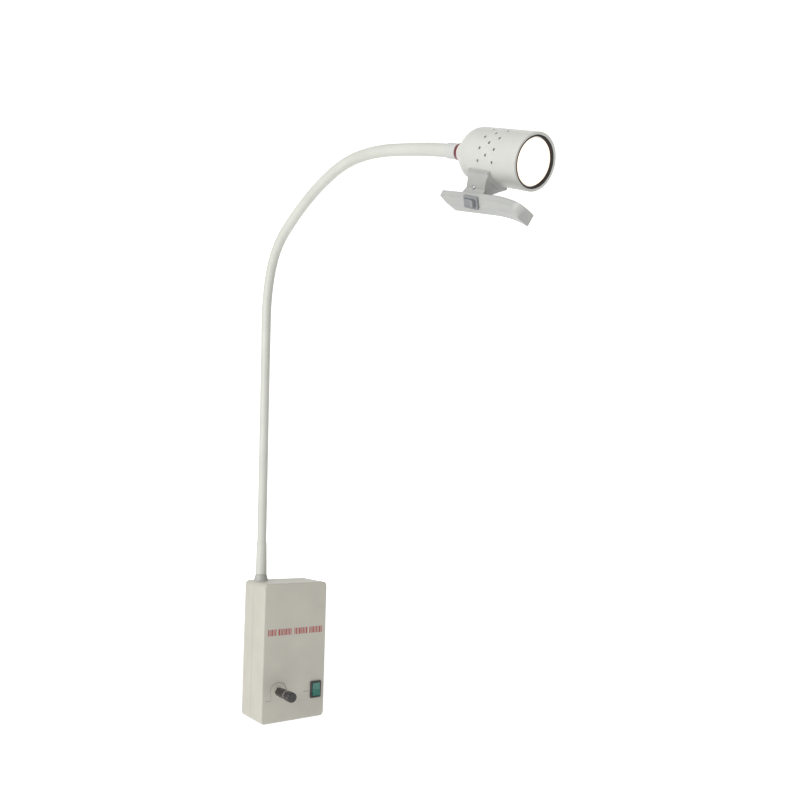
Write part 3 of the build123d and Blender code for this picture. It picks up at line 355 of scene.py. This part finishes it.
def number(operation, first, second, tree=sleeve_tree):
    """A math node; each side is a socket or a plain number."""
    node = tree.nodes.new("ShaderNodeMath")
    node.operation = operation
    for place, value in enumerate((first, second)):
        if isinstance(value, (int, float)):
            node.inputs[place].default_value = value
        elif value is not None:
            tree.links.new(value, node.inputs[place])
    return node.outputs[0]


def stored(name):
    """A number that each point carries."""
    node = make("GeometryNodeInputNamedAttribute")
    node.data_type = "FLOAT"
    node.inputs["Name"].default_value = name
    return node.outputs["Attribute"]


phase = number("MULTIPLY", number("DIVIDE", stored("along"), given.outputs["Rib Pitch"]), 2 * math.pi)
wave = number("POWER", number("ABSOLUTE", number("SINE", number("MULTIPLY", phase, 0.5), None), None), 0.6)
rib = number("MULTIPLY", number("MULTIPLY", wave, stored("ribbed")), given.outputs["Rib Height"])
to_curve, radius, circle, sweep = (make("GeometryNodeMeshToCurve"), make("GeometryNodeSetCurveRadius"),
                                   make("GeometryNodeCurvePrimitiveCircle"), make("GeometryNodeCurveToMesh"))
realize, paint, smooth = make("GeometryNodeRealizeInstances"), make("GeometryNodeSetMaterial"), make(
    "GeometryNodeSetShadeSmooth")
join(given.outputs["Geometry"], to_curve.inputs["Mesh"])
join(to_curve.outputs["Curve"], radius.inputs["Curve"])
join(number("ADD", given.outputs["Radius"], rib), radius.inputs["Radius"])
circle.inputs["Radius"].default_value = 1
join(given.outputs["Sides"], circle.inputs["Resolution"])
join(radius.outputs["Curve"], sweep.inputs["Curve"])
join(circle.outputs["Curve"], sweep.inputs["Profile Curve"])
sweep.inputs["Fill Caps"].default_value = True
if "Scale" in sweep.inputs:
    size_here = make("GeometryNodeInputRadius")
    join(size_here.outputs[0], sweep.inputs["Scale"])
join(sweep.outputs["Mesh"], realize.inputs["Geometry"])
join(realize.outputs["Geometry"], paint.inputs["Geometry"])
join(given.outputs["Material"], paint.inputs["Material"])
join(paint.outputs["Geometry"], smooth.inputs["Geometry"])
join(smooth.outputs["Geometry"], result.inputs["Geometry"])
print("sleeve tree nodes:", len(sleeve_tree.nodes))


# %% [markdown]
# A tree's result is turned into a plain mesh before it is given to a body of the frame: the helper
# sets the tree's inputs, takes the evaluated mesh, and drops the modifier with the carrier object.


# %% helper: run a tree and keep its mesh
def built(name, carrier_mesh, tree, **values):
    """Object with the plain mesh that a Geometry Nodes tree makes from carrier_mesh."""
    carrier = bpy.data.objects.new(name + "_carrier", carrier_mesh)
    bpy.context.scene.collection.objects.link(carrier)
    mod = carrier.modifiers.new("build", "NODES")
    mod.node_group = tree
    sockets = {item.name: item.identifier for item in tree.interface.items_tree if item.in_out == "INPUT"}
    for label, value in values.items():
        mod[sockets[label.replace("_", " ")]] = value
    bpy.context.view_layer.update()
    graph = bpy.context.evaluated_depsgraph_get()
    mesh = bpy.data.meshes.new_from_object(carrier.evaluated_get(graph), depsgraph=graph)
    bpy.data.objects.remove(carrier)
    piece = bpy.data.objects.new(name, mesh)
    bpy.context.scene.collection.objects.link(piece)
    for attribute in ("along", "ribbed"):
        if attribute in mesh.attributes:
            mesh.attributes.remove(mesh.attributes[attribute])
    return piece


def closed(piece):
    """Merge doubled points and turn every face outwards."""
    work = bmesh.new()
    work.from_mesh(piece.data)
    bmesh.ops.remove_doubles(work, verts=work.verts, dist=1e-6)
    bmesh.ops.recalc_face_normals(work, faces=work.faces)
    if work.calc_volume(signed=True) < 0:
        bmesh.ops.reverse_faces(work, faces=work.faces)
    work.to_mesh(piece.data)
    work.free()
    return piece


# %% [markdown]
# The ribs begin above the straight part and fade out on the far side of the bend, over three
# centimetres each. The points of a row are a good half millimetre apart, which is enough for ribs
# four millimetres apart.

# %% sleeves
ribs_from, ribs_to, ribs_fade = 0.285, 0.485, 0.03
row_step = 0.00065
sleeve_radius, rib_height = 0.00558, 0.0003
sleeve_foot, sleeve_tip_gap = 0.0018, 0.0046  # the sleeve starts and stops this far inside the arm's ends


def ribbed_here(along):
    """0 on the smooth parts of the arm, 1 in the middle of the ribbed stretch."""
    rising = min(1, max(0, (along - ribs_from) / ribs_fade))
    falling = min(1, max(0, (ribs_to - along) / ribs_fade))
    return rising * falling


def sleeve(name, start, end):
    """One stretch of sleeve between two distances along the arm."""
    steps = max(2, round((end - start) / row_step))
    along = [start + (end - start) * i / steps for i in range(steps + 1)]
    row = bpy.data.meshes.new(name + "_row")
    row.from_pydata([arm_at(a) for a in along], [(i, i + 1) for i in range(steps)], [])
    row.attributes.new("along", "FLOAT", "POINT").data.foreach_set("value", along)
    row.attributes.new("ribbed", "FLOAT", "POINT").data.foreach_set("value", [ribbed_here(a) for a in along])
    piece = built(name, row, sleeve_tree, Radius=sleeve_radius, Rib_Height=rib_height, Sides=28,
                  Material=looks["arm_sleeve"])
    closed(piece)
    return piece


bend_reach = 0.016  # two points this far on each side of a joint are worked out below; nothing uses them
root = sleeve("sleeve_01", sleeve_foot, 1.5 * length)
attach(root, "box")
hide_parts("arm_link_01")
for k in range(2, len(turns)):
    stretch = sleeve(f"sleeve_{k:02d}", (k - 0.5) * length, (k + 0.5) * length)
    bend_start, bend_end = arm_at(k * length - bend_reach), arm_at(k * length + bend_reach)
    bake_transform(stretch)
    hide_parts(f"arm_link_{k:02d}")
tip = sleeve("sleeve_14", (len(turns) - 0.5) * length, arm_length - sleeve_tip_gap)
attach(tip, "arm_14")
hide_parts("arm_link_14")
print("sleeves:", len(turns), "triangles in one:", len(stretch.data.polygons) * 2)

# %% [markdown]
# Prints on the panel: a row of plain red bars where the real one carries words, a growing
# arc round the knob that shows which way is brighter, and small marks beside knob and switch. They
# are ink, a few hundredths of a millimetre thick. One tree makes all of them: bars placed on a row
# of points, each turned and sized by the numbers its point carries.

# %% ink tree
ink_tree = bpy.data.node_groups.new("ink_marks", "GeometryNodeTree")
face = ink_tree.interface
face.new_socket("Geometry", in_out="INPUT", socket_type="NodeSocketGeometry")
face.new_socket("Geometry", in_out="OUTPUT", socket_type="NodeSocketGeometry")
face.new_socket("Thickness", in_out="INPUT", socket_type="NodeSocketFloat").default_value = 0.00004
face.new_socket("Material", in_out="INPUT", socket_type="NodeSocketMaterial")
make, join = ink_tree.nodes.new, ink_tree.links.new
given, result = make("NodeGroupInput"), make("NodeGroupOutput")
bar, spread, scale, spin = (make("GeometryNodeMeshCube"), make("GeometryNodeInstanceOnPoints"),
                            make("ShaderNodeCombineXYZ"), make("ShaderNodeCombineXYZ"))
bar.inputs["Size"].default_value = (1, 1, 1)
join(stored("wide"), scale.inputs["X"])
join(given.outputs["Thickness"], scale.inputs["Y"])
join(stored("tall"), scale.inputs["Z"])
join(stored("spin"), spin.inputs["Y"])
join(given.outputs["Geometry"], spread.inputs["Points"])
join(bar.outputs["Mesh"], spread.inputs["Instance"])
join(spin.outputs["Vector"], spread.inputs["Rotation"])
join(scale.outputs["Vector"], spread.inputs["Scale"])
realize, paint = make("GeometryNodeRealizeInstances"), make("GeometryNodeSetMaterial")
join(spread.outputs["Instances"], realize.inputs["Geometry"])
join(realize.outputs["Geometry"], paint.inputs["Geometry"])
join(given.outputs["Material"], paint.inputs["Material"])
join(paint.outputs["Geometry"], result.inputs["Geometry"])


def ink(name, marks, color):
    """Thin printed bars on the panel; each mark is (x, z, width, height, turn)."""
    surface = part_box("front_cover")[0].y - 0.00003
    row = bpy.data.meshes.new(name + "_row")
    row.from_pydata([(x, surface, z) for x, z, *_ in marks], [], [])
    for column, label in ((2, "wide"), (3, "tall"), (4, "spin")):
        row.attributes.new(label, "FLOAT", "POINT").data.foreach_set("value", [m[column] for m in marks])
    piece = built(name, row, ink_tree, Material=color)
    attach(piece, "box")
    return piece


# %% [markdown]
# The red band is broken into plain bars of uneven width, so that it has the weight of a printed line
# from across the room and says nothing up close.

# %% red band
red_ink = finish("red_ink", (0.36, 0.085, 0.08), 0.5, cloud=0.12, cloud_scale=300, bump=0.03)
grey_ink = finish("grey_ink", (0.20, 0.19, 0.16), 0.5, cloud=0.12, cloud_scale=300, bump=0.03)
band_left, band_right, band_z, bar_tall = -0.0375, 0.0385, 0.0255, 0.0078
bars, x = [], band_left
widths = (0.0016, 0.0009, 0.0022, 0.0012)
step = 0
while x < band_right:
    wide = widths[step % len(widths)]
    if step % 9 != 5:
        bars.append((x + wide / 2, band_z, wide, bar_tall, 0.0))
    x += wide + 0.0009
    step += 1
red_band = ink("red_band", bars, red_ink)
print("bars in the band:", len(bars))

# %% [markdown]
# Round the knob an arc of short bars grows from thin to thick, with ticks outside it, and a short
# level mark stands to the left of the knob and of the switch.

# %% dial marks
knob_low, knob_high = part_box("knob_barrel")
knob_x, knob_z = (knob_low.x + knob_high.x) / 2, (knob_low.z + knob_high.z) / 2
arc_radius, arc_steps, tick_steps = 0.0108, 54, 6
tick_radius = arc_radius + 0.0021
marks = []


def round_knob(share, reach, wide, tall):
    """One mark round the knob; share runs from 0 at its lowest setting to 1 at its highest."""
    swing = math.radians(-130 + 260 * share)
    return knob_x + reach * math.sin(swing), knob_z + reach * math.cos(swing), wide, tall, swing


for i in range(arc_steps + 1):
    marks.append(round_knob(i / arc_steps, arc_radius, 0.00106, 0.00022 + 0.0009 * i / arc_steps))
for i in range(tick_steps + 1):
    marks.append(round_knob(i / tick_steps, tick_radius, 0.0003, 0.0014))
switch_low, switch_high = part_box("power_switch_body")
switch_z = (switch_low.z + switch_high.z) / 2
for i in range(3):
    marks.append((switch_low.x - 0.0085 + 0.0026 * i, switch_z - 0.001, 0.0017, 0.0011, 0.0))
    marks.append((knob_x - 0.0155 + 0.0024 * i, knob_z - 0.0105, 0.0016, 0.0009, 0.0))
dial = ink("dial_print", marks, grey_ink)
print("marks on the dial:", len(marks))

# %% [markdown]
# The knob has a fine fluted skin: narrow ridges that stop fingers slipping. They run the
# length of the barrel and of the cap. They repeat round an axis, so again a tree makes them: a
# ridge on each point of a circle of points.

# %% ridges on the knob
ridge_tree = bpy.data.node_groups.new("knob_ridges", "GeometryNodeTree")
face = ridge_tree.interface
face.new_socket("Geometry", in_out="INPUT", socket_type="NodeSocketGeometry")
face.new_socket("Geometry", in_out="OUTPUT", socket_type="NodeSocketGeometry")
face.new_socket("Count", in_out="INPUT", socket_type="NodeSocketInt").default_value = 30
for label, value in (("Ring Radius", 0.005), ("Ridge Radius", 0.0003), ("Ridge Length", 0.01)):
    face.new_socket(label, in_out="INPUT", socket_type="NodeSocketFloat").default_value = value
face.new_socket("Centre", in_out="INPUT", socket_type="NodeSocketVector")
face.new_socket("Material", in_out="INPUT", socket_type="NodeSocketMaterial")
make, join = ridge_tree.nodes.new, ridge_tree.links.new
given, result = make("NodeGroupInput"), make("NodeGroupOutput")
ring, ridge, spread = (make("GeometryNodeMeshCircle"), make("GeometryNodeMeshCylinder"),
                       make("GeometryNodeInstanceOnPoints"))
ridge.inputs["Vertices"].default_value = 8
join(given.outputs["Count"], ring.inputs["Vertices"])
join(given.outputs["Ring Radius"], ring.inputs["Radius"])
join(given.outputs["Ridge Radius"], ridge.inputs["Radius"])
join(given.outputs["Ridge Length"], ridge.inputs["Depth"])
join(ring.outputs["Mesh"], spread.inputs["Points"])
join(ridge.outputs["Mesh"], spread.inputs["Instance"])
lay, realize, paint, smooth = (make("GeometryNodeTransform"), make("GeometryNodeRealizeInstances"),
                               make("GeometryNodeSetMaterial"), make("GeometryNodeSetShadeSmooth"))
join(spread.outputs["Instances"], realize.inputs["Geometry"])
join(realize.outputs["Geometry"], lay.inputs["Geometry"])
lay.inputs["Rotation"].default_value = (math.pi / 2, 0, 0)
join(given.outputs["Centre"], lay.inputs["Translation"])
join(lay.outputs["Geometry"], paint.inputs["Geometry"])
join(given.outputs["Material"], paint.inputs["Material"])
join(paint.outputs["Geometry"], smooth.inputs["Geometry"])
join(smooth.outputs["Geometry"], result.inputs["Geometry"])


def ridges_on(name, node, count, inset):
    """Fine ridges along a turned part of the knob."""
    low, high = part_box(node)
    centre = (low + high) / 2
    piece = built(name, bpy.data.meshes.new(name + "_seed"), ridge_tree, Count=count,
                  Ring_Radius=(high.x - low.x) / 2 - 0.00012, Ridge_Radius=0.00028,
                  Ridge_Length=(high.y - low.y) - 2 * inset, Centre=centre, Material=looks["black_plastic"])
    closed(piece)
    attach(piece, "dimmer_knob")
    return piece


ridges_on("knob_ridges", "knob_barrel", 30, 0.001)
ridges_on("knob_cap_ridges", "knob_cap", 34, 0.0015)
print("knob ridged")

# %% [markdown]
# Small turned screws close the grip onto its stem and show on both flanks. A screw head is a low
# dome with a cross cut in it. It is turned from a profile, and the cross is sunk with two short
# slots cut by a boolean, which leaves crisp edges.


# %% head directions and screws
roll = math.radians(15)
side_flat = head_axis.cross(Vector((0, 0, 1))).normalized()
up_flat = side_flat.cross(head_axis).normalized()
if up_flat.z < 0:
    up_flat = -up_flat
head_up = up_flat * math.cos(roll) + Vector((1, 0, 0)) * math.sin(roll)
head_side = head_up.cross(head_axis).normalized()


def at_head(along, down=0.0, side=0.0):
    """Point from distances along the head's axis, below it, and to its side, in millimetres."""
    return head_from + (head_axis * along - head_up * down + head_side * side) / 1000


def turned(name, profile, start, axis, sides, material):
    """Closed turned shape: profile is (distance along axis, radius) in metres, first and last on the axis."""
    axis = Vector(axis).normalized()
    first = axis.orthogonal().normalized()
    second = axis.cross(first)
    work = bmesh.new()
    rings = []
    for along, reach in profile:
        if reach <= 0:
            rings.append([work.verts.new(start + axis * along)])
        else:
            rings.append([work.verts.new(start + axis * along + (first * math.cos(2 * math.pi * i / sides)
                                         + second * math.sin(2 * math.pi * i / sides)) * reach)
                          for i in range(sides)])
    for lower, upper in zip(rings, rings[1:]):
        for i in range(sides):
            j = (i + 1) % sides
            corners = [lower[i % len(lower)], lower[j % len(lower)],
                       upper[j % len(upper)], upper[i % len(upper)]]
            unique = list(dict.fromkeys(corners))
            if len(unique) > 2:
                work.faces.new(unique)
    bmesh.ops.recalc_face_normals(work, faces=work.faces)
    mesh = bpy.data.meshes.new(name)
    work.to_mesh(mesh)
    work.free()
    mesh.materials.append(material)
    piece = bpy.data.objects.new(name, mesh)
    bpy.context.scene.collection.objects.link(piece)
    return piece


def cross_screw(name, start, axis, radius, body, slot_name="steel"):
    """Domed cross-head screw standing on a surface."""
    axis = Vector(axis).normalized()
    dome = [(-0.0004, 0), (-0.0004, radius), (0.0002, radius), (0.00055, radius * 0.78),
            (0.0007, radius * 0.4), (0.00074, 0)]
    piece = turned(name, dome, start, axis, 32, looks[slot_name])
    first = axis.orthogonal().normalized()
    for along in (first, axis.cross(first)):
        across = axis.cross(along)
        cutter = turned("cutter", [(-radius * 0.62, 0), (-radius * 0.62, radius * 0.17),
                                   (radius * 0.62, radius * 0.17), (radius * 0.62, 0)],
                        start + axis * 0.00068, along, 4, looks[slot_name])
        cut = piece.modifiers.new("slot", "BOOLEAN")
        cut.operation = "DIFFERENCE"
        cut.object = cutter
        cut.solver = "EXACT"
        bpy.context.view_layer.update()
        graph = bpy.context.evaluated_depsgraph_get()
        mesh = bpy.data.meshes.new_from_object(piece.evaluated_get(graph), depsgraph=graph)
        piece.modifiers.clear()
        piece.data = mesh
        bpy.data.objects.remove(cutter)
    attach(piece, body)
    return piece


for screw_name, way in (("stem_screw_left", -1), ("stem_screw_right", 1)):
    cross_screw(screw_name, at_head(48, 29, way * 4.9), head_side * way, 0.0019, "head")
print("screws on the stem")

# %% [markdown]
# Behind the front glass the reflector is a pressed bowl of small facets, which spread the filament's
# light evenly. A faceted bowl is laid over the frame's smooth one: rings of flat faces, each ring
# turned by half a facet, with an outer skin one wall further out.


# %% faceted reflector
bowl_wall = 0.0011


def reflector(name, rim, depth, rim_radius, throat_radius, sides, rings, material):
    """Bowl with flat staggered facets inside and a plain skin outside, closed at rim and throat."""
    axis = head_axis
    first = head_side
    second = axis.cross(first)
    work = bmesh.new()

    def ring_at(along, reach, shift):
        return [work.verts.new(rim + axis * along + (first * math.cos(2 * math.pi * (i + shift) / sides)
                               + second * math.sin(2 * math.pi * (i + shift) / sides)) * reach)
                for i in range(sides)]

    def bowl_radius(share):
        return throat_radius + (rim_radius - throat_radius) * (1 - share) ** 0.5

    loops = [ring_at(-depth * k / rings, bowl_radius(k / rings), 0.5 * (k % 2)) for k in range(rings + 1)]
    loops += [ring_at(-depth * k / rings, bowl_radius(k / rings) + bowl_wall, 0.5 * (k % 2))
              for k in range(rings, -1, -1)]
    for a, b in zip(loops, loops[1:] + loops[:1]):
        for i in range(sides):
            j = (i + 1) % sides
            work.faces.new((a[i], a[j], b[j], b[i]))
    bmesh.ops.triangulate(work, faces=work.faces)
    bmesh.ops.recalc_face_normals(work, faces=work.faces)
    mesh = bpy.data.meshes.new(name)
    work.to_mesh(mesh)
    work.free()
    mesh.materials.append(material)
    piece = bpy.data.objects.new(name, mesh)
    bpy.context.scene.collection.objects.link(piece)
    return piece


glass_thick = 0.0013
bowl_rim = lamp_centre - head_axis * (glass_thick / 2 + 0.0003)
bowl = reflector("reflector_bowl", bowl_rim, 0.024, 0.0158, 0.0042, 30, 9, looks["lamp_mirror"])
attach(bowl, "head")
print("reflector facets:", len(bowl.data.polygons))
